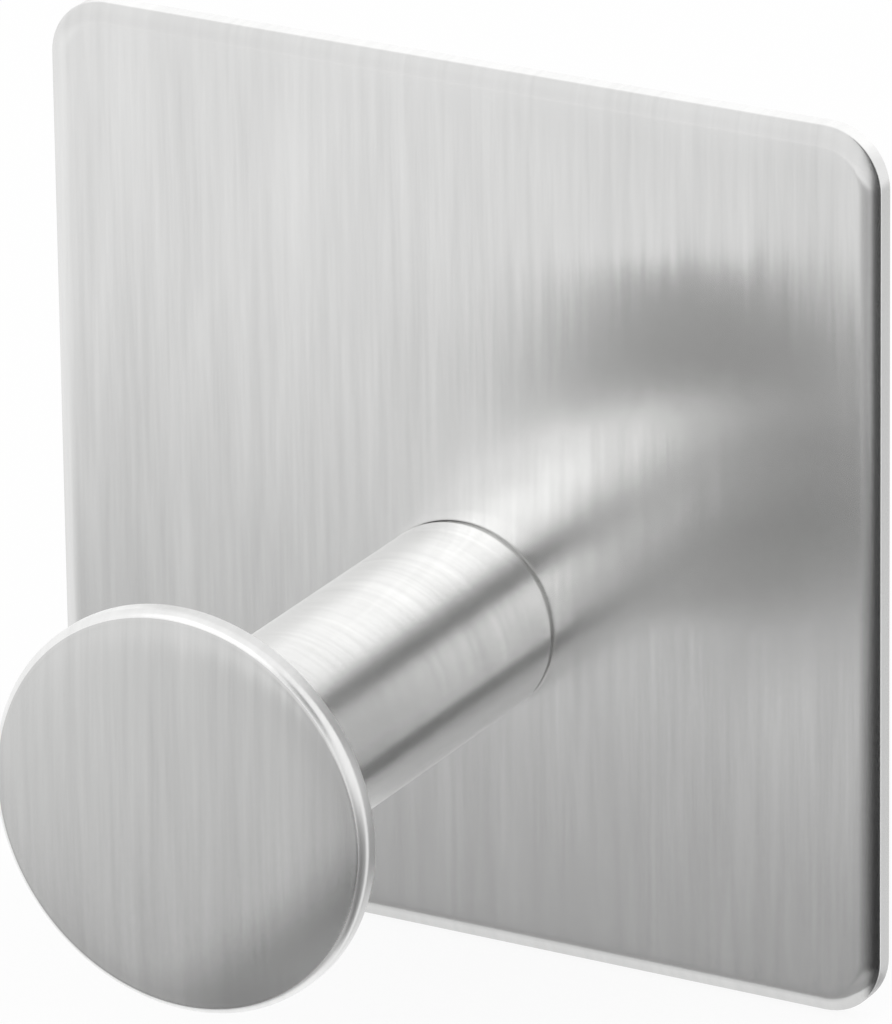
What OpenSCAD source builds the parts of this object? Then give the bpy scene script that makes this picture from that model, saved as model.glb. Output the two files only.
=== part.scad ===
// Self-adhesive wall hook. A square plate of brushed steel carries a round post with a disc for a
// head. A screw from behind holds the post, a stud on the back of the head screws into its front
// end, and a pad of double-sided foam tape sticks the plate to the wall.
// The wall is the plane y = 0, the hook stands out towards -Y, +Z is up, and the origin is the
// middle of the tape's wall face.

/* [Plate] */
// Width of the plate
plate_w = 45; // [40:0.5:80]
// Height of the plate
plate_h = 45; // [40:0.5:80]
// Thickness of the plate's sheet
plate_t = 1.2; // [0.8:0.1:2]
// Radius of the plate's four corners, seen from the front
corner_r = 3; // [2.5:0.1:8]
// Radius of the arc in which the plate's face falls away to its edge
edge_r = 1.8; // [1.2:0.1:3]
// How far the plate's face has fallen at its edge
edge_fall = 0.3; // [0.1:0.05:0.5]

/* [Post] */
// Diameter of the post
post_d = 10; // [8:0.5:16]
// Free length of the post, from the plate to the head
post_len = 26; // [24:0.5:50]
// How far the post's axis lies below the plate's centre
post_drop = 5.75; // [0:0.05:8]
// Width of the groove at both ends of the post, which shows as a thin dark seam
seam_w = 0.2; // [0.1:0.05:0.5]
// Depth of the seam groove
seam_deep = 0.3; // [0.1:0.05:0.6]

/* [Head] */
// Diameter of the head
head_d = 20; // [18:0.5:36]
// Thickness of the head in its middle
head_t = 1.5; // [1.2:0.1:3]
// How far the even crown of the head's face falls by its rim
head_crown = 0.06; // [0.02:0.01:0.2]
// How much farther the face falls away close to its rim
head_fall = 0.2; // [0.05:0.05:0.4]

/* [Fasteners] */
// Thread diameter of the plate screw and of the head stud
thread_d = 4; // [3:0.5:5]
// Gap all round between a thread and its bore in the post
thread_clear = 0.05; // [0.03:0.01:0.1]
// Gap all round between the screw and its hole in the plate
hole_clear = 0.2; // [0.1:0.05:0.4]
// Length of the screw under its head
screw_len = 9; // [7:0.5:11]
// Diameter of the screw's thin head
screw_head_d = 9; // [7:0.5:10]
// Thickness of the screw's thin head
screw_head_t = 0.8; // [0.6:0.05:0.9]
// Length of the screw's cross recess, at the face of its head
recess_len = 4.2; // [3:0.1:5]
// Width of each slot of the cross recess
recess_w = 0.9; // [0.6:0.1:1.2]
// Depth of the cross recess
recess_deep = 1.6; // [0.6:0.1:2]
// Length of the stud's thread, in front of its flange
stud_len = 7; // [5:0.5:8]
// Diameter of the stud's welded flange
stud_flange_d = 5.6; // [5.5:0.1:7]
// Thickness of the stud's welded flange
stud_flange_t = 0.8; // [0.5:0.1:1]
// Bore left free past the end of a thread
bore_spare = 1; // [0.5:0.1:1.5]
// Angle of the drill point at the end of a bore
drill_angle = 118; // [90:1:140]

/* [Tape] */
// How far the tape's edge stays inside the plate's edge
tape_margin = 2; // [1:0.1:4]
// Radius of the tape's corners
tape_corner_r = 2; // [1:0.1:4]
// Thickness of the foam carrier
foam_t = 0.8; // [0.8:0.1:2]
// Thickness of each adhesive film
film_t = 0.1; // [0.05:0.01:0.2]
// Gap all round between the screw's head and the window in the tape
window_clear = 1; // [0.5:0.1:2]

/* [Hidden] */
$fn = 96;
steel = "#c4c4c2";
dark_steel = "#9a9a98";
// Levels along the stack, counted outwards from the wall
foam_z = film_t;
plate_film_z = foam_z + foam_t;
plate_z = plate_film_z + film_t;
post_z = plate_z + plate_t;
head_z = post_z + post_len;
// Slope at the foot of the arc along the plate's edge, and the width of the arc
edge_lean = acos(1 - edge_fall / edge_r);
edge_w = edge_r * sin(edge_lean);
// Bores in the post
thread_bore_d = thread_d + 2 * thread_clear;
screw_bore_len = screw_len - plate_t + bore_spare;
flange_seat_d = stud_flange_d + 2 * thread_clear;
flange_seat_t = stud_flange_t + thread_clear;
stud_bore_len = stud_flange_t + stud_len + bore_spare;
drill_tip = thread_bore_d / 2 / tan(drill_angle / 2);
// Tape outline
tape_w = plate_w - 2 * tape_margin;
tape_h = plate_h - 2 * tape_margin;
window_d = screw_head_d + 2 * window_clear;
// Overrun of a cut past the faces that it opens
cut = 0.1;
// Straight steps that stand for the arc along the plate's edge and for the head's face
edge_steps = 8;
face_steps = 16;

// Turns a stack built up along +Z, with +Y up, to stand out of the wall towards -Y with +Z up
module on_wall(z = 0) {
  rotate([90, 0, 0]) translate([0, 0, z]) children();
}

// Moves a turned piece from the plate's centre to the post's axis
module on_post_axis() {
  translate([0, -post_drop, 0]) children();
}

// Outline of a rectangle with rounded corners
module rounded_rect(w, h, r) {
  square([w - 2 * r, h], center = true);
  square([w, h - 2 * r], center = true);
  for (x = [-1, 1], y = [-1, 1])
    translate([x * (w / 2 - r), y * (h / 2 - r)]) circle(r);
}

// Half section of the plate: x runs out to its cut edge, where the face falls away in an arc
module plate_edge(reach) {
  centre = [reach - edge_w, plate_t - edge_r];
  polygon(concat(
    [[0, 0], [reach, 0]],
    [for (i = [edge_steps : -1 : 0]) let (lean = edge_lean * i / edge_steps)
      centre + edge_r * [sin(lean), cos(lean)]],
    [[0, plate_t]]
  ));
}

// Full section of the plate, from edge to edge
module plate_section(w) {
  plate_edge(w / 2);
  mirror([1, 0, 0]) plate_edge(w / 2);
}

// Blank of the plate: two crossed strips, and a quarter turn of the edge at each corner
module plate_blank() {
  for (side = [[0, plate_w, plate_h], [90, plate_h, plate_w]])
    rotate([90, 0, side[0]])
      translate([0, 0, corner_r - side[2] / 2])
        linear_extrude(side[2] - 2 * corner_r) plate_section(side[1]);
  for (turn = [0 : 90 : 270]) {
    across = turn % 180 == 0 ? plate_w : plate_h;
    along = turn % 180 == 0 ? plate_h : plate_w;
    rotate([0, 0, turn])
      translate([across / 2 - corner_r, along / 2 - corner_r, 0])
        rotate_extrude(angle = 90) plate_edge(corner_r);
  }
}

// Height of the head's face at a share of its radius
function face_height(share) = head_t - head_crown * share ^ 2 - head_fall * share ^ 8;

// Half section of the head: a face that falls away towards a straight rim, with its points
// closest together where the fall is steepest
module head_section() {
  polygon(concat(
    [[0, 0], [head_d / 2, 0]],
    [for (i = [face_steps : -1 : 0]) let (share = sin(90 * i / face_steps))
      [head_d / 2 * share, face_height(share)]]
  ));
}

// Blind bore that opens at z = 0 and ends in a drill point
module drilled_bore(len) {
  translate([0, 0, -cut]) cylinder(d = thread_bore_d, h = len + cut);
  translate([0, 0, len]) cylinder(d1 = thread_bore_d, d2 = 0, h = drill_tip);
}

// Layer of the tape pad, with the window that clears the screw's head
module tape_layer(t) {
  difference() {
    linear_extrude(t) rounded_rect(tape_w, tape_h, tape_corner_r);
    on_post_axis() translate([0, 0, -cut]) cylinder(d = window_d, h = t + 2 * cut);
  }
}

// Square plate, blanked from sheet, so that its face falls away along the edge
module back_plate() {
  color(steel) on_wall(plate_z) difference() {
    plate_blank();
    on_post_axis() translate([0, 0, -cut])
      cylinder(d = thread_d + 2 * hole_clear, h = plate_t + 2 * cut);
  }
}

// Solid round post, grooved and drilled at both ends
module post() {
  color(steel) on_wall(post_z) on_post_axis() difference() {
    union() {
      cylinder(d = post_d - 2 * seam_deep, h = post_len);
      translate([0, 0, seam_w]) cylinder(d = post_d, h = post_len - 2 * seam_w);
    }
    drilled_bore(screw_bore_len);
    translate([0, 0, post_len]) mirror([0, 0, 1]) {
      drilled_bore(stud_bore_len);
      translate([0, 0, -cut]) cylinder(d = flange_seat_d, h = flange_seat_t + cut);
    }
  }
}

// Disc head, pressed with a slight crown that falls away to a straight rim
module head_disc() {
  color(steel) on_wall(head_z) on_post_axis() rotate_extrude() head_section();
}

// Stud welded by its flange to the back of the head
module head_stud() {
  color(dark_steel) on_wall(head_z) on_post_axis() mirror([0, 0, 1]) {
    cylinder(d = stud_flange_d, h = stud_flange_t);
    cylinder(d = thread_d, h = stud_flange_t + stud_len);
  }
}

// Cross recess that opens at z = 0 and narrows to half its length at the bottom
module cross_recess() {
  intersection() {
    cylinder(d1 = recess_len, d2 = recess_len / 2, h = recess_deep);
    for (turn = [0, 90]) rotate([0, 0, turn])
      translate([-recess_len / 2, -recess_w / 2, 0]) cube([recess_len, recess_w, recess_deep]);
  }
}

// Thin-headed screw that goes in from behind and holds the post
module plate_screw() {
  color(dark_steel) on_wall(plate_z) on_post_axis() difference() {
    union() {
      mirror([0, 0, 1]) cylinder(d = screw_head_d, h = screw_head_t);
      cylinder(d = thread_d, h = screw_len);
    }
    translate([0, 0, -screw_head_t]) cross_recess();
  }
}

// Adhesive film between the foam and the plate
module plate_adhesive() {
  color("#d9d9d4") on_wall(plate_film_z) tape_layer(film_t);
}

// Foam that carries both adhesive films
module foam_carrier() {
  color("#8e9194") on_wall(foam_z) tape_layer(foam_t);
}

// Adhesive film that meets the wall
module wall_adhesive() {
  color("#d9d9d4") on_wall() tape_layer(film_t);
}

back_plate();
post();
head_disc();
head_stud();
plate_screw();
plate_adhesive();
foam_carrier();
wall_adhesive();
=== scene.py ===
import math

import bmesh
import bpy
from mathutils import Matrix, Vector


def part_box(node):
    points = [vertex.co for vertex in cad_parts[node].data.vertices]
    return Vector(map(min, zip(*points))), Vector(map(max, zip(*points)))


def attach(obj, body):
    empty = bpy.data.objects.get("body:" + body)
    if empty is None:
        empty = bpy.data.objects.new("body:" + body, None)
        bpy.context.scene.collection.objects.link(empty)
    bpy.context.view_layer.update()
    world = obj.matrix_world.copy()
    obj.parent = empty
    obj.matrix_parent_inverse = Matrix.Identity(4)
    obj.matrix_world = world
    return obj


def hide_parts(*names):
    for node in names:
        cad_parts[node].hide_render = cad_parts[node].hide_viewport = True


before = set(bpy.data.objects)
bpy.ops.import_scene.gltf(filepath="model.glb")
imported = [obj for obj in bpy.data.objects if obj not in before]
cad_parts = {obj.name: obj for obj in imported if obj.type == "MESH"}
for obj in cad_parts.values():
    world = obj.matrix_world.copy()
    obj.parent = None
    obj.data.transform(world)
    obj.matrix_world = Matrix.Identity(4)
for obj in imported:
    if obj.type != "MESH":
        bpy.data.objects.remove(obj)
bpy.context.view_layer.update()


# Back plate. A square of stainless sheet, blanked with rounded corners so that its face falls away in
# an arc along the edge, and brushed from top to bottom on a belt. A hole below its centre takes the
# screw that holds the post.
mm = 0.001
plate_low, plate_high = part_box("back_plate")
plate_size = plate_high - plate_low
plate_corner = 3.0 * mm
plate_roll_r = 1.8 * mm
plate_roll_deep = 0.3 * mm
plate_arris = 0.12 * mm
plate_flat_rim = 0.15 * mm
screw_hole_d = 4.4 * mm
post_low, post_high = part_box("post")
post_axis_z = (post_low.z + post_high.z) / 2
BODY = "root"


def put(tree, kind, inputs=None, **settings):
    """Adds a node, sets its options, and fills its inputs with values or with links."""
    node = tree.nodes.new(kind)
    for name, value in settings.items():
        setattr(node, name, value)
    for key, value in (inputs or {}).items():
        if isinstance(value, bpy.types.NodeSocket):
            tree.links.new(value, node.inputs[key])
        else:
            node.inputs[key].default_value = value
    return node


def calc(tree, operation, a, b=0.0):
    return put(tree, "ShaderNodeMath", {0: a, 1: b}, operation=operation).outputs[0]


def new_material(name):
    """Makes a material without nodes, and gives it with its tree."""
    material = bpy.data.materials.new(name)
    material.use_nodes = True
    material.node_tree.nodes.clear()
    return material, material.node_tree


def two_tone(tree, factor, *stops):
    """Blends two colours by a factor. Each stop is a position, a colour and its brightness."""
    ramp = put(tree, "ShaderNodeValToRGB", {"Fac": factor})
    for element, (position, colour, brightness) in zip(ramp.color_ramp.elements, stops):
        element.position = position
        element.color = (*(c * brightness for c in colour), 1.0)
    return ramp.outputs["Color"]


def placed(name, data):
    """Puts a new object with the given data into the scene."""
    item = bpy.data.objects.new(name, data)
    bpy.context.scene.collection.objects.link(item)
    return item


def keep_result(item, modifier, all_layers=False):
    """Runs an object's modifier once, and keeps the result as the object's plain mesh."""
    graph = bpy.context.evaluated_depsgraph_get()
    result = bpy.data.meshes.new_from_object(
        item.evaluated_get(graph), preserve_all_data_layers=all_layers, depsgraph=graph)
    item.modifiers.remove(modifier)
    item.data = result


def group_with(kind, name, inputs, outputs):
    """Makes a node group with named sockets, and gives it with its input and output nodes."""
    tree = bpy.data.node_groups.new(name, kind)
    for direction, sockets in (("INPUT", inputs), ("OUTPUT", outputs)):
        for socket, socket_kind in sockets.items():
            tree.interface.new_socket(socket, in_out=direction, socket_type=f"NodeSocket{socket_kind}")
    return tree, tree.nodes.new("NodeGroupInput").outputs, tree.nodes.new("NodeGroupOutput").inputs


def rolled_sheet_tree():
    """A sheet with rounded corners, a rolled front edge and one round hole.

    It is drawn lying down with its front face at z = 0, and then stood up to face -Y.
    """
    roll_steps = 12
    arris_steps = 5
    corner_steps = 14
    hole_steps = 64
    weld = 0.004 * mm
    tree, given, made = group_with(
        "GeometryNodeTree", "Rolled sheet",
        {"Width": "Float", "Height": "Float", "Thickness": "Float", "Corner": "Float", "Roll": "Float",
         "Roll depth": "Float", "Arris": "Float", "Flat rim": "Float", "Hole diameter": "Float",
         "Hole drop": "Float", "Front": "Float", "Material": "Material"},
        {"Geometry": "Geometry"})

    square = put(tree, "GeometryNodeCurvePrimitiveQuadrilateral",
                 {"Width": given["Width"], "Height": given["Height"]})
    rounded = put(tree, "GeometryNodeFilletCurve",
                  {"Curve": square.outputs[0], "Count": corner_steps, "Radius": given["Corner"]},
                  mode="POLY")
    outline = put(tree, "GeometryNodeSetCurveNormal", {"Curve": rounded.outputs[0]}, mode="Z_UP")
    ring = put(tree, "GeometryNodeCurvePrimitiveCircle",
               {"Resolution": hole_steps, "Radius": calc(tree, "DIVIDE", given["Hole diameter"], 2.0)})
    down = put(tree, "ShaderNodeCombineXYZ", {"Y": calc(tree, "MULTIPLY", given["Hole drop"], -1.0)})
    hole = put(tree, "GeometryNodeTransform",
               {"Geometry": ring.outputs[0], "Translation": down.outputs[0]})

    # Section of the edge: a short flat rim, the arc of the roll, the broken arris, and the cut side
    step = put(tree, "GeometryNodeInputIndex").outputs[0]
    lean = calc(tree, "ARCCOSINE",
                calc(tree, "SUBTRACT", 1.0, calc(tree, "DIVIDE", given["Roll depth"], given["Roll"])))
    rest = calc(tree, "SUBTRACT", math.pi / 2, lean)

    def share_done(first_step, steps):
        passed = calc(tree, "SUBTRACT", step, first_step)
        done = put(tree, "ShaderNodeClamp", {"Value": passed, "Min": 0.0, "Max": float(steps)})
        return calc(tree, "DIVIDE", done.outputs[0], steps)

    roll_turn = calc(tree, "MULTIPLY", share_done(1.0, roll_steps), lean)
    arris_turn = calc(tree, "ADD", lean,
                      calc(tree, "MULTIPLY", share_done(roll_steps + 1.0, arris_steps), rest))

    def arc_part(radius, function, start, end):
        return calc(tree, "MULTIPLY", radius,
                    calc(tree, "SUBTRACT", calc(tree, function, start), calc(tree, function, end)))

    rim = calc(tree, "MULTIPLY", calc(tree, "LESS_THAN", step, 0.5), given["Flat rim"])
    inward = calc(tree, "ADD", arc_part(given["Roll"], "SINE", lean, roll_turn),
                  arc_part(given["Arris"], "SINE", math.pi / 2, arris_turn))
    depth = calc(tree, "ADD", arc_part(given["Roll"], "COSINE", 0.0, roll_turn),
                 arc_part(given["Arris"], "COSINE", lean, arris_turn))
    at_back = calc(tree, "GREATER_THAN", step, roll_steps + arris_steps + 1.5)
    land = calc(tree, "MULTIPLY", at_back, calc(tree, "SUBTRACT", given["Thickness"], depth))
    place = put(tree, "ShaderNodeCombineXYZ",
                {"X": calc(tree, "MULTIPLY", calc(tree, "ADD", inward, rim), -1.0),
                 "Y": calc(tree, "ADD", depth, land)})
    row = put(tree, "GeometryNodeMeshLine", {"Count": roll_steps + arris_steps + 3})
    bent = put(tree, "GeometryNodeSetPosition",
               {"Geometry": row.outputs[0], "Position": place.outputs[0]})
    section = put(tree, "GeometryNodeMeshToCurve", {"Mesh": bent.outputs[0]})
    wall = put(tree, "GeometryNodeCurveToMesh",
               {"Curve": outline.outputs[0], "Profile Curve": section.outputs[0]}).outputs[0]

    # The front and back faces fill the open edges that the swept section leaves
    open_edge = calc(tree, "LESS_THAN", put(tree, "GeometryNodeInputMeshEdgeNeighbors").outputs[0], 1.5)
    level = put(tree, "ShaderNodeSeparateXYZ", {0: put(tree, "GeometryNodeInputPosition").outputs[0]})
    middle = calc(tree, "MULTIPLY", given["Thickness"], -0.5)
    in_front = calc(tree, "GREATER_THAN", level.outputs["Z"], middle)
    faces = []
    for side, sink in ((in_front, 0.0), (calc(tree, "SUBTRACT", 1.0, in_front), -1.0)):
        edge = put(tree, "GeometryNodeMeshToCurve",
                   {"Mesh": wall, "Selection": calc(tree, "MULTIPLY", open_edge, side)})
        both = put(tree, "GeometryNodeJoinGeometry")
        tree.links.new(edge.outputs[0], both.inputs[0])
        tree.links.new(hole.outputs[0], both.inputs[0])
        filled = put(tree, "GeometryNodeFillCurve", {"Curve": both.outputs[0]})
        lower = put(tree, "ShaderNodeCombineXYZ",
                    {"Z": calc(tree, "MULTIPLY", given["Thickness"], sink)})
        faces.append(put(tree, "GeometryNodeTransform",
                         {"Geometry": filled.outputs[0], "Translation": lower.outputs[0]}).outputs[0])

    through = put(tree, "ShaderNodeCombineXYZ", {"Y": given["Thickness"]})
    drill = put(tree, "GeometryNodeCurvePrimitiveLine", {"End": through.outputs[0]})
    upright = put(tree, "GeometryNodeSetCurveNormal", {"Curve": hole.outputs[0]}, mode="Z_UP")
    bore = put(tree, "GeometryNodeCurveToMesh",
               {"Curve": upright.outputs[0], "Profile Curve": drill.outputs[0]}).outputs[0]

    whole = put(tree, "GeometryNodeJoinGeometry")
    for surface in (wall, bore, *faces):
        tree.links.new(surface, whole.inputs[0])
    welded = put(tree, "GeometryNodeMergeByDistance", {"Geometry": whole.outputs[0], "Distance": weld})
    stood = put(tree, "GeometryNodeTransform",
                {"Geometry": welded.outputs[0], "Rotation": (math.pi / 2, 0.0, 0.0),
                 "Translation": put(tree, "ShaderNodeCombineXYZ", {"Y": given["Front"]}).outputs[0]})
    real = put(tree, "GeometryNodeRealizeInstances", {"Geometry": stood.outputs[0]})
    dressed = put(tree, "GeometryNodeSetMaterial",
                  {"Geometry": real.outputs[0], "Material": given["Material"]})
    tree.links.new(dressed.outputs[0], made["Geometry"])
    return tree


def dress(mesh, material):
    """Gives a mesh one material slot, and all its faces that material."""
    mesh.materials.clear()
    mesh.materials.append(material)
    for face in mesh.polygons:
        face.material_index = 0


def grown(name, tree, material, **sizes):
    """Runs a geometry tree once with the given sizes and keeps its result as a plain mesh."""
    source = placed(name, bpy.data.meshes.new(name))
    modifier = source.modifiers.new(name, "NODES")
    modifier.node_group = tree
    sizes["Material"] = material
    for socket in tree.interface.items_tree:
        if socket.in_out == "INPUT":
            modifier[socket.identifier] = sizes[socket.name.replace(" ", "_")]
    keep_result(source, modifier)
    source.data.name = name
    dress(source.data, material)
    return source


def finish_mesh(mesh, round_axis=False):
    """Turns faces outwards, smooths all but sharp edges, and lays a map whose U runs across the brushing.

    Flat work is brushed upright: U follows X on the faces and the thickness on the edges. A piece that
    is brushed round its axis has U along the axis.
    """
    same_spot = 0.0005 * mm
    front_share = 0.6
    sharp_angle = math.radians(30.0)
    work = bmesh.new()
    work.from_mesh(mesh)
    bmesh.ops.remove_doubles(work, verts=work.verts, dist=same_spot)
    bmesh.ops.recalc_face_normals(work, faces=work.faces)
    layer = work.loops.layers.uv.new("Brushing")
    for part in work.faces:
        facing_front = abs(part.normal.y) > front_share
        on_side = not facing_front and abs(part.normal.x) > abs(part.normal.z)
        for corner in part.loops:
            x, y, z = corner.vert.co
            if round_axis or on_side:
                corner[layer].uv = (y, z + x)
            elif facing_front:
                corner[layer].uv = (x, z)
            else:
                corner[layer].uv = (x, y)
        part.smooth = True
    work.to_mesh(mesh)
    work.free()
    mesh.set_sharp_from_angle(angle=sharp_angle)


def even_normals(item):
    """Lets large faces decide the shading, so that straight faces look straight up to their corners."""
    modifier = item.modifiers.new("even_normals", "WEIGHTED_NORMAL")
    modifier.mode = "FACE_AREA"
    modifier.keep_sharp = True
    keep_result(item, modifier, all_layers=True)


def hairline_group():
    """Brushing marks: fine hairlines, longer streaks and broad bands, all drawn out one way."""
    tree, given, made = group_with(
        "ShaderNodeTree", "Hairline brushing",
        {"Vector": "Vector", "Line scale": "Vector", "Streak scale": "Vector", "Band scale": "Vector"},
        {"Lines": "Float", "Streaks": "Float", "Bands": "Float"})
    for output, scale, detail in (("Lines", "Line scale", 4.0), ("Streaks", "Streak scale", 3.0),
                                  ("Bands", "Band scale", 2.0)):
        drawn = put(tree, "ShaderNodeVectorMath", {0: given["Vector"], 1: given[scale]},
                    operation="MULTIPLY")
        noise = put(tree, "ShaderNodeTexNoise",
                    {"Vector": drawn.outputs[0], "Scale": 1.0, "Detail": detail, "Roughness": 0.6})
        tree.links.new(noise.outputs["Fac"], made[output])
    return tree


hairline = hairline_group()


def brushed_steel(name, colour, across, roughness, anisotropy, line_bump, lines_per_mm=9.0,
                  tone_share=0.06, streak_lean=0.0):
    """Brushed stainless steel. across is the axis that the brushing marks lie across.

    streak_lean is how far the streaks tilt the face along the marks, which draws mirrored edges out of
    line.
    """
    line_share, streak_share, band_share = 0.1, 0.5, 0.4
    low_at, high_at = 0.3, 0.7
    rough_swing = 0.02
    mark_depth = 0.01 * mm
    material, tree = new_material(name)

    def drawn_out(across_per_mm, along_per_mm):
        return tuple((across_per_mm if axis == across else along_per_mm) / mm for axis in "XYZ")

    marks = put(tree, "ShaderNodeGroup",
                {"Vector": put(tree, "ShaderNodeTexCoord").outputs["Object"],
                 "Line scale": drawn_out(lines_per_mm, 0.2), "Streak scale": drawn_out(1.9, 0.09),
                 "Band scale": drawn_out(0.3, 0.05)}, node_tree=hairline)
    lines = calc(tree, "MULTIPLY", marks.outputs["Lines"], line_share)
    streaks = calc(tree, "MULTIPLY", marks.outputs["Streaks"], streak_share)
    bands = calc(tree, "MULTIPLY", marks.outputs["Bands"], band_share)
    blend = calc(tree, "ADD", lines, calc(tree, "ADD", streaks, bands))
    tone = two_tone(tree, blend, (low_at, colour, 1.0 - tone_share), (high_at, colour, 1.0 + tone_share))
    rough = put(tree, "ShaderNodeMapRange",
                {"Value": blend, "From Min": low_at, "From Max": high_at,
                 "To Min": roughness + rough_swing, "To Max": roughness - rough_swing})
    bump = put(tree, "ShaderNodeBump",
               {"Height": marks.outputs["Lines"], "Strength": line_bump, "Distance": mark_depth})
    if streak_lean:
        level = 0.5
        uneven = calc(tree, "SUBTRACT", marks.outputs["Streaks"], level)
        along = calc(tree, "ADD", calc(tree, "MULTIPLY", uneven, streak_lean), level)
        tilt = put(tree, "ShaderNodeCombineXYZ", {"X": level, "Y": along, "Z": 1.0})
        leaning = put(tree, "ShaderNodeNormalMap", {"Color": tilt.outputs[0]}, uv_map="Brushing")
        tree.links.new(leaning.outputs["Normal"], bump.inputs["Normal"])
    tangent = put(tree, "ShaderNodeTangent", direction_type="UV_MAP", uv_map="Brushing")
    steel = put(tree, "ShaderNodeBsdfPrincipled",
                {"Base Color": tone, "Metallic": 1.0, "Roughness": rough.outputs["Result"],
                 "Anisotropic": anisotropy, "Normal": bump.outputs["Normal"],
                 "Tangent": tangent.outputs[0]})
    put(tree, "ShaderNodeOutputMaterial", {"Surface": steel.outputs[0]})
    return material


plate_finish = brushed_steel("plate_brushed_steel", (0.80, 0.80, 0.795), across="X", roughness=0.205,
                             anisotropy=0.94, line_bump=0.06, streak_lean=0.015)
sheet_tree = rolled_sheet_tree()
plate = grown("plate_sheet", sheet_tree, plate_finish, Width=plate_size.x, Height=plate_size.z,
              Thickness=plate_size.y, Corner=plate_corner, Roll=plate_roll_r, Roll_depth=plate_roll_deep,
              Arris=plate_arris, Flat_rim=plate_flat_rim, Hole_diameter=screw_hole_d,
              Hole_drop=-post_axis_z, Front=plate_low.y)
finish_mesh(plate.data)
even_normals(plate)
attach(plate, BODY)
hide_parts("back_plate")


# Post. A length of stainless bar with a thin groove turned at both ends, brushed as it turns, so that
# its marks run round it. Both ends are drilled and tapped for the screw and for the head's stud.
post_r = (post_high.x - post_low.x) / 2
seam_w = 0.2 * mm
seam_deep = 0.18 * mm
seam_arris = 0.04 * mm
thread_bore_r = 2.05 * mm
screw_bore_len = 8.8 * mm
stud_bore_len = 8.8 * mm
flange_seat_r = 2.85 * mm
flange_seat_t = 0.85 * mm
drill_half_angle = math.radians(59.0)
drill_tip = thread_bore_r / math.tan(drill_half_angle)


def turned(name, section, material, steps=128):
    """Turns a half section of (radius, y) points about the post's axis into a closed piece."""
    work = bmesh.new()
    rings = []
    for radius, y in section:
        count = steps if radius > 0.0 else 1
        rings.append([
            work.verts.new((radius * math.cos(2 * math.pi * i / steps), y,
                            post_axis_z + radius * math.sin(2 * math.pi * i / steps)))
            for i in range(count)])
    for near, far in zip(rings, rings[1:]):
        for i in range(steps):
            j = (i + 1) % steps
            corners = [near[i % len(near)], near[j % len(near)], far[j % len(far)], far[i % len(far)]]
            work.faces.new(list(dict.fromkeys(corners)))
    bmesh.ops.recalc_face_normals(work, faces=work.faces)
    mesh = bpy.data.meshes.new(name)
    work.to_mesh(mesh)
    work.free()
    dress(mesh, material)
    return placed(name, mesh)


back_y, front_y = post_high.y, post_low.y
post_section = [
    (0.0, back_y - screw_bore_len - drill_tip),
    (thread_bore_r, back_y - screw_bore_len),
    (thread_bore_r, back_y),
    (post_r - seam_deep, back_y),
    (post_r - seam_deep, back_y - seam_w),
    (post_r - seam_arris, back_y - seam_w),
    (post_r, back_y - seam_w - seam_arris),
    (post_r, front_y + seam_w + seam_arris),
    (post_r - seam_arris, front_y + seam_w),
    (post_r - seam_deep, front_y + seam_w),
    (post_r - seam_deep, front_y),
    (flange_seat_r, front_y),
    (flange_seat_r, front_y + flange_seat_t),
    (thread_bore_r, front_y + flange_seat_t),
    (thread_bore_r, front_y + stud_bore_len),
    (0.0, front_y + stud_bore_len + drill_tip),
]
# Painted light: the post's steel is set much lighter than the plate's, standing in for more light on it
post_painted_light_finish = brushed_steel("post_turned_steel", (0.93, 0.93, 0.925), across="Y", roughness=0.2,
                            anisotropy=1.0, line_bump=0.2, lines_per_mm=5.0, tone_share=0.08)
post = turned("post_bar", post_section, post_painted_light_finish)
finish_mesh(post.data, round_axis=True)
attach(post, BODY)
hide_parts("post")


# Plate screw. A thin-headed M4 screw of plated steel with a rolled thread, driven from behind through
# the plate's hole into the post. Its head sits in the tape's window and has a cross recess.
screw_low, screw_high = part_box("plate_screw")
screw_head_r = (screw_high.x - screw_low.x) / 2
screw_head_t = 0.8 * mm
screw_edge = 0.3 * mm
screw_edge_mid = 0.3 * screw_edge
thread_r = 2.0 * mm
thread_root_r = 1.6 * mm
thread_pitch = 0.7 * mm
lead_in = 0.4 * mm
recess_len = 4.2 * mm
recess_w = 0.9 * mm
recess_deep = 1.6 * mm


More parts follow.
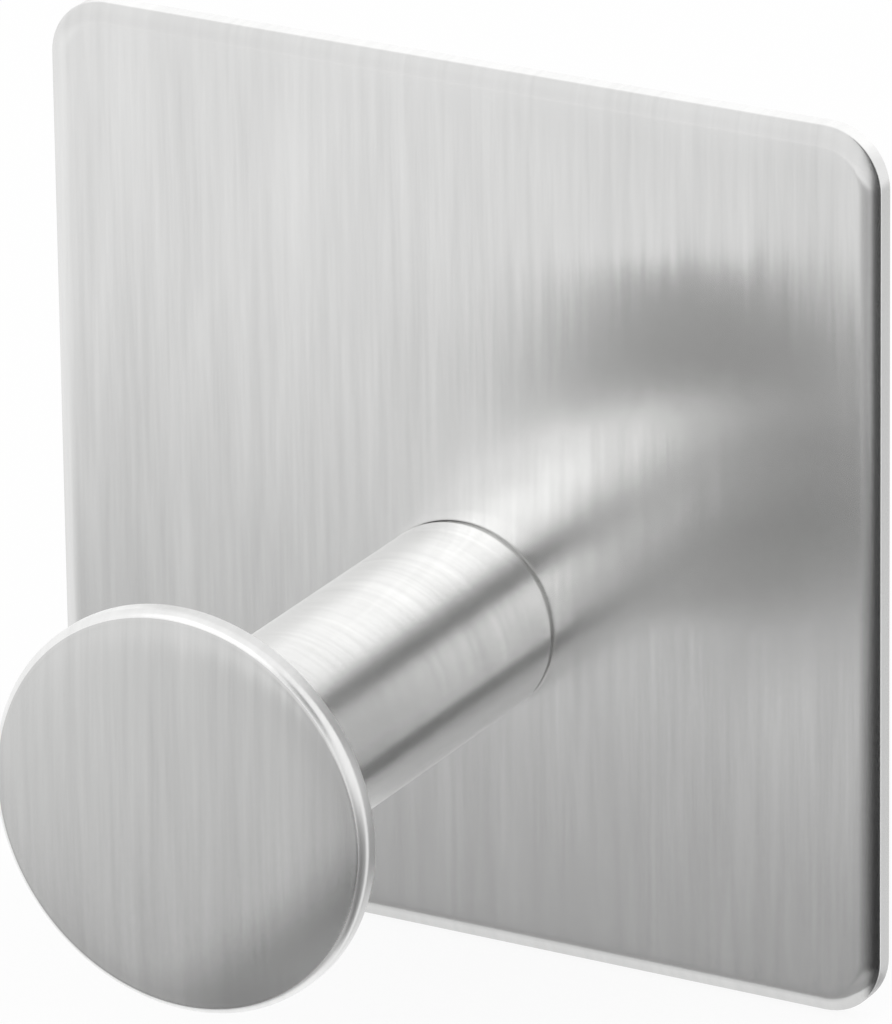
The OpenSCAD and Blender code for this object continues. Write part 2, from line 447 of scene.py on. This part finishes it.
def thread_tree():
    """The ridge of a screw thread, a spiral that runs along -Y and fades out at both ends."""
    points_per_turn = 40
    sunk_share = 0.2
    foot_share = 0.46
    crest_share = 0.08
    fade_per_turn = 1.5
    least_height = 0.05
    tree, given, made = group_with(
        "GeometryNodeTree", "Rolled thread",
        {"Root radius": "Float", "Crest radius": "Float", "Pitch": "Float", "Length": "Float",
         "Start": "Float", "Axis height": "Float", "Material": "Material"},
        {"Geometry": "Geometry"})
    turns = calc(tree, "DIVIDE", given["Length"], given["Pitch"])
    spiral = put(tree, "GeometryNodeCurveSpiral",
                 {"Resolution": points_per_turn, "Rotations": turns, "Height": given["Length"],
                  "Start Radius": given["Root radius"], "End Radius": given["Root radius"],
                  "Reverse": True})
    level = put(tree, "GeometryNodeSetCurveNormal", {"Curve": spiral.outputs[0]}, mode="Z_UP")
    depth = calc(tree, "SUBTRACT", given["Crest radius"], given["Root radius"])
    sunk = calc(tree, "MULTIPLY", depth, -sunk_share)
    foot = calc(tree, "MULTIPLY", given["Pitch"], foot_share)
    crest = calc(tree, "MULTIPLY", given["Pitch"], crest_share)
    corners = {}
    for number, (reach, half_width, side) in enumerate(
            ((sunk, foot, -1.0), (depth, crest, -1.0), (depth, crest, 1.0), (sunk, foot, 1.0)), start=1):
        corner = put(tree, "ShaderNodeCombineXYZ",
                     {"X": reach, "Y": calc(tree, "MULTIPLY", half_width, side)})
        corners[f"Point {number}"] = corner.outputs[0]
    ridge = put(tree, "GeometryNodeCurvePrimitiveQuadrilateral", corners, mode="POINTS")
    along = put(tree, "GeometryNodeSplineParameter").outputs["Factor"]
    to_end = calc(tree, "MINIMUM", along, calc(tree, "SUBTRACT", 1.0, along))
    turns_to_end = calc(tree, "MULTIPLY", to_end, turns)
    fade = put(tree, "ShaderNodeClamp",
               {"Value": calc(tree, "MULTIPLY", turns_to_end, fade_per_turn), "Min": least_height})
    swept = put(tree, "GeometryNodeCurveToMesh",
                {"Curve": level.outputs[0], "Profile Curve": ridge.outputs[0], "Scale": fade.outputs[0],
                 "Fill Caps": True})
    shift = put(tree, "ShaderNodeCombineXYZ", {"Y": given["Start"], "Z": given["Axis height"]})
    laid = put(tree, "GeometryNodeTransform",
               {"Geometry": swept.outputs[0], "Rotation": (math.pi / 2, 0.0, 0.0),
                "Translation": shift.outputs[0]})
    real = put(tree, "GeometryNodeRealizeInstances", {"Geometry": laid.outputs[0]})
    dressed = put(tree, "GeometryNodeSetMaterial",
                  {"Geometry": real.outputs[0], "Material": given["Material"]})
    tree.links.new(dressed.outputs[0], made["Geometry"])
    return tree


def joined(main, *others):
    """Adds the other meshes to the main piece, and removes their own objects."""
    work = bmesh.new()
    for piece in (main, *others):
        work.from_mesh(piece.data)
    work.to_mesh(main.data)
    work.free()
    for piece in others:
        bpy.data.objects.remove(piece)


def cut_from(piece, cutter):
    """Takes the cutter's shape out of the piece, and keeps the result as the piece's mesh."""
    modifier = piece.modifiers.new("cut", "BOOLEAN")
    modifier.operation = "DIFFERENCE"
    modifier.solver = "EXACT"
    modifier.object = cutter
    keep_result(piece, modifier)
    bpy.data.objects.remove(cutter)


def cross_cutter(front):
    """A cross with tapered arms, for the driver's recess, that opens at the given y and runs along -Y."""
    overlap = 0.1 * mm
    half = recess_w / 2
    work = bmesh.new()
    rings = []
    for y, reach in ((front + overlap, recess_len / 2), (front - recess_deep, recess_len / 4)):
        ring = []
        for quarter in range(4):
            turn = Matrix.Rotation(math.pi / 2 * quarter, 2)
            for corner in ((reach, -half), (reach, half), (half, half)):
                x, z = turn @ Vector(corner)
                ring.append(work.verts.new((x, y, post_axis_z + z)))
        rings.append(ring)
    near, far = rings
    work.faces.new(near)
    work.faces.new(far)
    for i in range(len(near)):
        work.faces.new((near[i - 1], near[i], far[i], far[i - 1]))
    bmesh.ops.recalc_face_normals(work, faces=work.faces)
    mesh = bpy.data.meshes.new("cross_cutter")
    work.to_mesh(mesh)
    work.free()
    return placed("cross_cutter", mesh)


def plated_steel(name, colour, roughness):
    """Bright plated steel with darker, duller patches and fine nicks."""
    low_at, high_at = 0.35, 0.65
    dull_brightness = 0.8
    dull_roughness = 0.12
    nick_depth = 0.01 * mm
    material, tree = new_material(name)
    coordinates = put(tree, "ShaderNodeTexCoord").outputs["Object"]
    patches = put(tree, "ShaderNodeTexNoise",
                  {"Vector": coordinates, "Scale": 0.9 / mm, "Detail": 4.0, "Roughness": 0.6})
    nicks = put(tree, "ShaderNodeTexNoise",
                {"Vector": coordinates, "Scale": 6.0 / mm, "Detail": 2.0, "Roughness": 0.5})
    tone = two_tone(tree, patches.outputs["Fac"], (low_at, colour, dull_brightness), (high_at, colour, 1.0))
    rough = put(tree, "ShaderNodeMapRange",
                {"Value": patches.outputs["Fac"], "From Min": low_at, "From Max": high_at,
                 "To Min": roughness + dull_roughness, "To Max": roughness})
    bump = put(tree, "ShaderNodeBump",
               {"Height": nicks.outputs["Fac"], "Strength": 0.25, "Distance": nick_depth})
    steel = put(tree, "ShaderNodeBsdfPrincipled",
                {"Base Color": tone, "Metallic": 1.0, "Roughness": rough.outputs["Result"],
                 "Normal": bump.outputs["Normal"]})
    put(tree, "ShaderNodeOutputMaterial", {"Surface": steel.outputs[0]})
    return material


fastener_finish = plated_steel("fastener_plated_steel", (0.60, 0.60, 0.59), roughness=0.28)
under_head_y = screw_high.y - screw_head_t
screw_section = [
    (0.0, screw_high.y),
    (screw_head_r - screw_edge, screw_high.y),
    (screw_head_r - screw_edge_mid, screw_high.y - screw_edge_mid),
    (screw_head_r, screw_high.y - screw_edge),
    (screw_head_r, under_head_y),
    (thread_root_r, under_head_y),
    (thread_root_r, screw_low.y + lead_in),
    (thread_root_r - lead_in, screw_low.y),
    (0.0, screw_low.y),
]
screw = turned("screw_thin_head", screw_section, fastener_finish, steps=72)
cut_from(screw, cross_cutter(screw_high.y))
thread = thread_tree()
screw_ridge = grown("screw_thread", thread, fastener_finish, Root_radius=thread_root_r,
                    Crest_radius=thread_r, Pitch=thread_pitch,
                    Length=under_head_y - screw_low.y - lead_in - thread_pitch,
                    Start=under_head_y - thread_pitch / 2, Axis_height=post_axis_z)
finish_mesh(screw.data)
finish_mesh(screw_ridge.data)
joined(screw, screw_ridge)
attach(screw, BODY)
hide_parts("plate_screw")


# Head. A stainless disc, blanked and pressed with a slight crown. Its face is brushed upright like the
# plate. Its rounded rim gets a lighter copy of the steel as a painted highlight, and its back a duller
# copy, darkened as painted shade. A stud welded to the back holds it.
head_low, head_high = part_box("head_disc")
head_r = (head_high.x - head_low.x) / 2
head_t = head_high.y - head_low.y
head_crown = 0.12 * mm
head_edge_fall = 0.2 * mm
head_arris = 0.5 * mm
back_arris = 0.25 * mm
face_rings = 40
rim_steps = 10
back_facing = 0.9
face_facing = -0.93


def face_height(radius):
    """Height of the head's front face above its back: nearly flat, and falling away near the edge."""
    out = radius / head_r
    return head_t - head_crown * out ** 2 - head_edge_fall * out ** 6


head_outline = [(0.0, 0.0), (head_r - back_arris, 0.0), (head_r, back_arris)]
flat_r = head_r - head_arris
for i in range(rim_steps):
    turn = math.pi / 2 * i / rim_steps
    head_outline.append((flat_r + head_arris * math.cos(turn),
                         face_height(flat_r) + head_arris * (math.sin(turn) - 1)))
for i in range(face_rings + 1):
    radius = flat_r * (1 - i / face_rings)
    head_outline.append((radius, face_height(radius)))
head_section = [(radius, head_high.y - height) for radius, height in head_outline]
head_finish = brushed_steel("head_brushed_steel", (0.64, 0.64, 0.635), across="X", roughness=0.205,
                            anisotropy=0.94, line_bump=0.06, streak_lean=0.015)
head = turned("head_crowned_disc", head_section, head_finish, steps=160)
finish_mesh(head.data)
# Painted shade: the back's steel is darkened for the gap between the head and the plate
head_back_painted_shade_finish = brushed_steel("head_back_steel", (0.36, 0.36, 0.355), across="X", roughness=0.24,
                                 anisotropy=0.6, line_bump=0.1)
# Painted highlight: the rim's steel is lighter than the face's
head_rim_painted_highlight_finish = brushed_steel("head_rim_steel", (0.86, 0.86, 0.855), across="X", roughness=0.32,
                                anisotropy=0.0, line_bump=0.06)
head.data.materials.append(head_back_painted_shade_finish)
head.data.materials.append(head_rim_painted_highlight_finish)
# Faces turned back get the painted shade, and the rim between back and face the painted highlight
for face in head.data.polygons:
    if face.normal.y > back_facing:
        face.material_index = 1
    elif face.normal.y > face_facing:
        face.material_index = 2
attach(head, BODY)
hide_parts("head_disc")


# Head stud. An M4 stud of plated steel, welded by its flat flange to the middle of the head's back and
# screwed into the front of the post until the head seats. The flange lies in a seat in the post.
stud_low, stud_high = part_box("head_stud")
stud_flange_r = (stud_high.x - stud_low.x) / 2
stud_flange_t = 0.8 * mm
flange_y = stud_low.y + stud_flange_t
flange_edge = 0.12 * mm
stud_section = [
    (0.0, stud_low.y),
    (stud_flange_r, stud_low.y),
    (stud_flange_r, flange_y - flange_edge),
    (stud_flange_r - flange_edge, flange_y),
    (thread_root_r, flange_y),
    (thread_root_r, stud_high.y - lead_in),
    (thread_root_r - lead_in, stud_high.y),
    (0.0, stud_high.y),
]
stud = turned("stud_flanged", stud_section, fastener_finish, steps=72)
stud_ridge = grown("stud_thread", thread, fastener_finish, Root_radius=thread_root_r,
                   Crest_radius=thread_r, Pitch=thread_pitch,
                   Length=stud_high.y - flange_y - lead_in - thread_pitch,
                   Start=stud_high.y - lead_in - thread_pitch / 2, Axis_height=post_axis_z)
finish_mesh(stud.data)
finish_mesh(stud_ridge.data)
joined(stud, stud_ridge)
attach(stud, BODY)
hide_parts("head_stud")


# Tape pad. Closed-cell foam with an acrylic adhesive film on each side, die-cut to a square with a
# round window over the screw's head. One film holds the plate, the other holds the wall.
tape_corner = 2.0 * mm
window_d = 11.0 * mm
cut_edge = 0.03 * mm


def adhesive_film(name, colour):
    """Tacky acrylic film: grey, glossy, with wetted patches and tiny bubbles."""
    wet_brightness = 0.86
    bubble_height = 0.03 * mm
    material, tree = new_material(name)
    coordinates = put(tree, "ShaderNodeTexCoord").outputs["Object"]
    patches = put(tree, "ShaderNodeTexNoise",
                  {"Vector": coordinates, "Scale": 0.22 / mm, "Detail": 4.0, "Roughness": 0.55})
    bubbles = put(tree, "ShaderNodeTexVoronoi", {"Vector": coordinates, "Scale": 1.1 / mm})
    ring = put(tree, "ShaderNodeMapRange",
               {"Value": bubbles.outputs["Distance"], "From Min": 0.05, "From Max": 0.16, "To Min": 1.0,
                "To Max": 0.0})
    tone = two_tone(tree, patches.outputs["Fac"], (0.35, colour, wet_brightness), (0.68, colour, 1.0))
    rough = put(tree, "ShaderNodeMapRange",
                {"Value": patches.outputs["Fac"], "From Min": 0.35, "From Max": 0.65, "To Min": 0.18,
                 "To Max": 0.34})
    bump = put(tree, "ShaderNodeBump",
               {"Height": ring.outputs["Result"], "Strength": 0.3, "Distance": bubble_height})
    film = put(tree, "ShaderNodeBsdfPrincipled",
               {"Base Color": tone, "Roughness": rough.outputs["Result"],
                "Normal": bump.outputs["Normal"]})
    put(tree, "ShaderNodeOutputMaterial", {"Surface": film.outputs[0]})
    return material


def cut_foam(name, colour):
    """Closed-cell foam: dull grey, with small open cells where the die has cut it, painted darker as shade.
    """
    pit_share, shade_share = 0.7, 0.3
    pit_painted_shade = 0.55
    pit_depth = 0.05 * mm
    material, tree = new_material(name)
    coordinates = put(tree, "ShaderNodeTexCoord").outputs["Object"]
    cells = put(tree, "ShaderNodeTexVoronoi", {"Vector": coordinates, "Scale": 7.0 / mm})
    shade = put(tree, "ShaderNodeTexNoise",
                {"Vector": coordinates, "Scale": 0.5 / mm, "Detail": 3.0, "Roughness": 0.5})
    pit = put(tree, "ShaderNodeMapRange",
              {"Value": cells.outputs["Distance"], "From Min": 0.1, "From Max": 0.6, "To Min": 0.0,
               "To Max": 1.0})
    mixed = calc(tree, "ADD", calc(tree, "MULTIPLY", pit.outputs["Result"], pit_share),
                 calc(tree, "MULTIPLY", shade.outputs["Fac"], shade_share))
    # Painted shade: the cells are darker than the foam around them
    tone = two_tone(tree, mixed, (0.1, colour, pit_painted_shade), (0.8, colour, 1.0))
    bump = put(tree, "ShaderNodeBump",
               {"Height": pit.outputs["Result"], "Strength": 0.6, "Distance": pit_depth})
    rough = put(tree, "ShaderNodeMapRange",
                {"Value": shade.outputs["Fac"], "To Min": 0.75, "To Max": 0.95})
    foam = put(tree, "ShaderNodeBsdfPrincipled",
               {"Base Color": tone, "Roughness": rough.outputs["Result"],
                "Normal": bump.outputs["Normal"]})
    put(tree, "ShaderNodeOutputMaterial", {"Surface": foam.outputs[0]})
    return material


film_finish = adhesive_film("acrylic_film", (0.46, 0.47, 0.48))
foam_finish = cut_foam("grey_cell_foam", (0.30, 0.31, 0.32))
for node, slot, finish in (("plate_adhesive", "adhesive", film_finish),
                           ("foam_carrier", "foam", foam_finish),
                           ("wall_adhesive", "adhesive", film_finish)):
    layer_low, layer_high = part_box(node)
    layer_size = layer_high - layer_low
    layer = grown(f"tape_{node}", sheet_tree, finish, Width=layer_size.x, Height=layer_size.z,
                  Thickness=layer_size.y, Corner=tape_corner, Roll=cut_edge, Roll_depth=cut_edge,
                  Arris=0.0, Flat_rim=cut_edge, Hole_diameter=window_d, Hole_drop=-post_axis_z,
                  Front=layer_low.y)
    finish_mesh(layer.data)
    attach(layer, BODY)
    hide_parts(node)


# The set. A pale floor under the hook, a large soft box above the front, another behind, and a white
# room. Black cards with feathered edges hang far off and close by, and one pale flag before the
# plate's upper edge. They show only in reflections.
floor_z = plate_low.z - 0.2 * mm
floor_half = 3.0
floor_colour = (0.90, 0.90, 0.90, 1.0)
white_share_seen = 0.9
card_distance = 1.5
card_divisions = 12


def aimed(azimuth, elevation):
    """Direction from the hook, in degrees. Azimuth 0 is straight in front, and 90 is to the right."""
    turn, tilt = math.radians(azimuth), math.radians(elevation)
    return Vector((math.sin(turn) * math.cos(tilt), -math.cos(turn) * math.cos(tilt), math.sin(tilt)))


def pale_floor():
    """White to the camera, with enough of its own shading to keep the hook's shadow."""
    material, tree = new_material("pale_floor")
    from_camera = put(tree, "ShaderNodeLightPath").outputs["Is Camera Ray"]
    seen = calc(tree, "MULTIPLY", from_camera, white_share_seen)
    matt = put(tree, "ShaderNodeBsdfDiffuse", {"Color": floor_colour})
    white = put(tree, "ShaderNodeEmission", {"Strength": 1.0})
    mix = put(tree, "ShaderNodeMixShader", {0: seen, 1: matt.outputs[0], 2: white.outputs[0]})
    put(tree, "ShaderNodeOutputMaterial", {"Surface": mix.outputs[0]})
    return material


def card_face(cover, feathers, glow):
    """Face of a card, black or pale, that fades out towards its left, right, lower and upper edges."""
    material, tree = new_material("card_face")
    spot = put(tree, "ShaderNodeUVMap", uv_map="Card").outputs[0]
    place = put(tree, "ShaderNodeSeparateXYZ", {0: spot})
    across, upward = place.outputs["X"], place.outputs["Y"]
    from_edges = (across, calc(tree, "SUBTRACT", 1.0, across),
                  upward, calc(tree, "SUBTRACT", 1.0, upward))
    for from_edge, feather in zip(from_edges, feathers):
        fade = put(tree, "ShaderNodeMapRange", {"Value": from_edge, "From Max": feather},
                   interpolation_type="SMOOTHSTEP")
        cover = calc(tree, "MULTIPLY", fade.outputs["Result"], cover)
    clear = put(tree, "ShaderNodeBsdfTransparent")
    plain = put(tree, "ShaderNodeEmission", {"Strength": glow})
    mix = put(tree, "ShaderNodeMixShader", {0: cover, 1: clear.outputs[0], 2: plain.outputs[0]})
    put(tree, "ShaderNodeOutputMaterial", {"Surface": mix.outputs[0]})
    return material


def far_off(azimuth, elevation):
    """Places a far card's corner, in degrees."""
    return aimed(azimuth, elevation) * card_distance


def on_plane(axis, level):
    """Gives a function that places a near card's corner, in millimetres, on a plane across one axis."""
    def place(first, second):
        spot = [first * mm, second * mm]
        spot.insert("XYZ".index(axis), level)
        return Vector(spot)
    return place


def hang_card(name, corners, cover, feathers, place=far_off, glow=0.0):
    """Hangs a card between four corners: lower left, lower right, upper right, upper left.

    It shows only in reflections.
    """
    low_left, low_right, high_right, high_left = (Vector(corner) for corner in corners)
    steps = [i / card_divisions for i in range(card_divisions + 1)]
    work = bmesh.new()
    layer = work.loops.layers.uv.new("Card")
    places = {}
    for v in steps:
        for u in steps:
            spot = low_left.lerp(low_right, u).lerp(high_left.lerp(high_right, u), v)
            places[u, v] = work.verts.new(place(*spot))
    for v, v_next in zip(steps, steps[1:]):
        for u, u_next in zip(steps, steps[1:]):
            patch = ((u, v), (u_next, v), (u_next, v_next), (u, v_next))
            face = work.faces.new([places[corner] for corner in patch])
            for loop, corner in zip(face.loops, patch):
                loop[layer].uv = corner
    mesh = bpy.data.meshes.new(name)
    work.to_mesh(mesh)
    work.free()
    mesh.materials.append(card_face(cover, feathers, glow))
    card = placed(name, mesh)
    card.visible_camera = False
    card.visible_diffuse = False
    card.visible_shadow = False
    card.visible_transmission = False


def soft_box(name, azimuth, elevation, distance, width, height, radiance):
    """A lamp with an even white front, aimed at the hook."""
    lamp = bpy.data.lights.new(name, "AREA")
    lamp.shape = "RECTANGLE"
    lamp.size, lamp.size_y = width, height
    lamp.energy = radiance * math.pi * width * height
    holder = placed(name, lamp)
    away = aimed(azimuth, elevation)
    holder.location = away * distance
    holder.rotation_euler = (-away).to_track_quat("-Z", "Y").to_euler()
    holder.visible_camera = False


floor_corners = [(x * floor_half, y * floor_half, floor_z)
                 for x, y in ((-1, -1), (1, -1), (1, 1), (-1, 1))]
floor_mesh = bpy.data.meshes.new("floor")
floor_mesh.from_pydata(floor_corners, [], [(0, 1, 2, 3)])
floor_mesh.materials.append(pale_floor())
floor = placed("floor", floor_mesh)
floor.visible_glossy = False

# Far cards, with their corners given by azimuth and elevation in degrees
hang_card("card_streak", [(0, -32), (45, -32), (45, -20), (0, -20)],
          cover=0.75, feathers=(0.15, 0.1, 0.2, 0.25))
# Painted shade: a grey card low at the front left, standing in for shade on the floor in reflections
hang_card("card_low_left", [(-45, -55), (-16, -55), (-16, -25), (-45, -25)],
          cover=0.2, feathers=(0.3, 0.3, 0.2, 0.35))
# Painted shade: a grey card low in front, standing in for shade on the floor, which darkens the plate and
# head towards the bottom
hang_card("card_low_right", [(-30, -30), (16, -30), (16, -13), (-30, -13)],
          cover=0.55, feathers=(0.35, 0.3, 0.2, 0.15))
hang_card("card_lens", [(10, 5.5), (56, 26.5), (32, 53), (0, 11)],
          cover=1.0, feathers=(0.1, 0.1, 0.25, 0.25))
# Painted shade: a grey card low behind, standing in for darker floor there in reflections
hang_card("card_low_back", [(115, -60), (185, -60), (185, -5), (115, -5)],
          cover=0.3, feathers=(0.2, 0.2, 0.2, 0.2))

# Near cards, with their corners in millimetres, each on a plane of its own
beside_plate = on_plane("X", plate_high.x + 2.0 * mm)
hang_card("card_edge", [(-16, -32), (-2.5, -32), (-2.5, 36), (-16, 36)],
          cover=0.95, feathers=(0.6, 0.01, 0.05, 0.1), place=beside_plate)
before_plate = on_plane("Y", -60.0 * mm)
# Painted shadow: a dark sheet before the plate, standing in for the hook's shadow on the floor in front, so
# the plate darkens towards its bottom
hang_card("card_low_front", [(-120, -85), (70, -85), (70, -8), (-120, -8)],
          cover=0.55, feathers=(0.3, 0.1, 0.05, 0.7), place=before_plate)
under_plate = on_plane("Z", floor_z)
# Painted shadow: a dark sheet on the floor under the plate, standing in for the contact shadow that its
# bottom roll reflects
hang_card("card_under", [(-40, -7), (30, -7), (30, 2), (-40, 2)],
          cover=0.35, feathers=(0.1, 0.1, 1.0, 0.01), place=under_plate)
before_head = on_plane("Y", -34.0 * mm)
# Painted shade: a dark sheet just before the head that darkens its lower right in reflection
hang_card("card_head", [(-2.4, -23.8), (13.6, -9.8), (9, -4.5), (-7, -18.5)],
          cover=0.42, feathers=(0.3, 0.2, 0.05, 0.55), place=before_head)
right_of_head = on_plane("X", 20.0 * mm)
# Painted shade: a dark sheet right of the head that deepens the lower dark band mirrored in the plate
# beside the post
hang_card("card_right", [(-66, -40), (-26, -40), (-26, 0), (-66, 0)],
          cover=0.7, feathers=(0.2, 0.12, 0.15, 0.25), place=right_of_head)
before_upper_edge = on_plane("Y", -8.0 * mm)
hang_card("card_flag", [(-45, 18), (30, 18), (30, 36), (-45, 36)],
          cover=1.0, feathers=(0.05, 0.05, 0.16, 0.05), place=before_upper_edge, glow=0.88)

soft_box("soft_box_front", azimuth=-15.0, elevation=38.0, distance=0.6, width=0.48, height=0.34,
         radiance=0.5)
soft_box("soft_box_back", azimuth=190.0, elevation=32.0, distance=0.7, width=1.1, height=0.5,
         radiance=0.2)

world = bpy.data.worlds.new("studio")
bpy.context.scene.world = world
world.use_nodes = True
sky = world.node_tree
sky.nodes.clear()
room = put(sky, "ShaderNodeBackground", {"Color": (1.0, 1.0, 1.0, 1.0), "Strength": 1.0})
put(sky, "ShaderNodeOutputWorld", {"Surface": room.outputs[0]})


# Camera. A long lens to the right of the hook and above it, placed by a fit to the plate's edges, the
# post's seam and the head's rim.
frame_px = (892.0, 1024.0)
focal_px = 11272.0
camera_azimuth = 29.39
camera_elevation = 21.47
camera_roll = math.radians(-0.79)
camera_distance = 541.4 * mm
camera_aim = (-0.695 * mm, -0.22 * mm)
camera_data = bpy.data.cameras.new("camera")
camera_data.sensor_width = 36.0
camera_data.lens = focal_px / max(frame_px) * camera_data.sensor_width
camera_data.clip_start = 0.05
camera_data.clip_end = 20.0
camera = placed("camera", camera_data)
back = aimed(camera_azimuth, camera_elevation)
right = aimed(camera_azimuth + 90.0, 0.0)
up = back.cross(right)
turn = Matrix.Rotation(camera_roll, 3, back)
right, up = turn @ right, turn @ up
plate_middle = Vector((0.0, plate_low.y, 0.0))
stand_point = plate_middle + back * camera_distance + right * camera_aim[0] + up * camera_aim[1]
camera.matrix_world = Matrix.Translation(stand_point) @ Matrix((right, up, back)).transposed().to_4x4()
bpy.context.scene.camera = camera
bpy.context.scene.view_settings.view_transform = "Standard"
